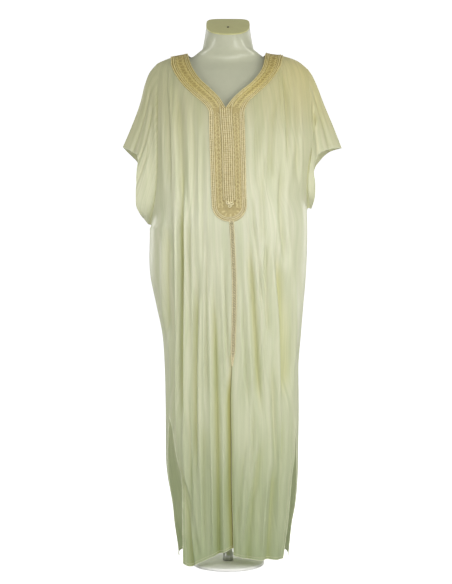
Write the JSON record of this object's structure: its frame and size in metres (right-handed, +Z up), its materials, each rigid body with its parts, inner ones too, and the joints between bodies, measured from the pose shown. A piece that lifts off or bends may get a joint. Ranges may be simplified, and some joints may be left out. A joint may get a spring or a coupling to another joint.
{
  "type": "djellaba robe on a dress form",
  "caption": "Pale green sateen djellaba with short wide sleeves, a gold-beige neck band and embroidered breast panel, on a limbless white dress form and its stand.",
  "frame": {"origin": "on the floor, at the centre of the underside of the stand's base plate", "axes": "+Z up; -Y is the front of the robe, +X the viewer's right when facing its front"},
  "size_m": [0.6056, 0.2603, 1.5169],
  "materials": {
    "sateen": "soft satin sheen, pale yellow-green",
    "gold_trim": "embroidered braid and cord, gold-beige",
    "form_plastic": "glossy off-white moulding",
    "cap_plastic": "satin olive-beige",
    "brushed_steel": "brushed",
    "white_steel": "white powder coat"
  },
  "bodies": {
    "root": {"front_left": "sateen", "front_right": "sateen", "back": "sateen", "sleeve_left": "sateen", "sleeve_right": "sateen", "neck_band_left": "gold_trim", "neck_band_right": "gold_trim", "neck_band_back": "gold_trim", "placket_panel": "gold_trim", "placket_strip": "gold_trim", "centre_braid": "gold_trim", "form_torso": "form_plastic", "form_neck_cap": "cap_plastic", "stand_pole": "brushed_steel", "stand_base": "white_steel"}
  },
  "joints": []
}
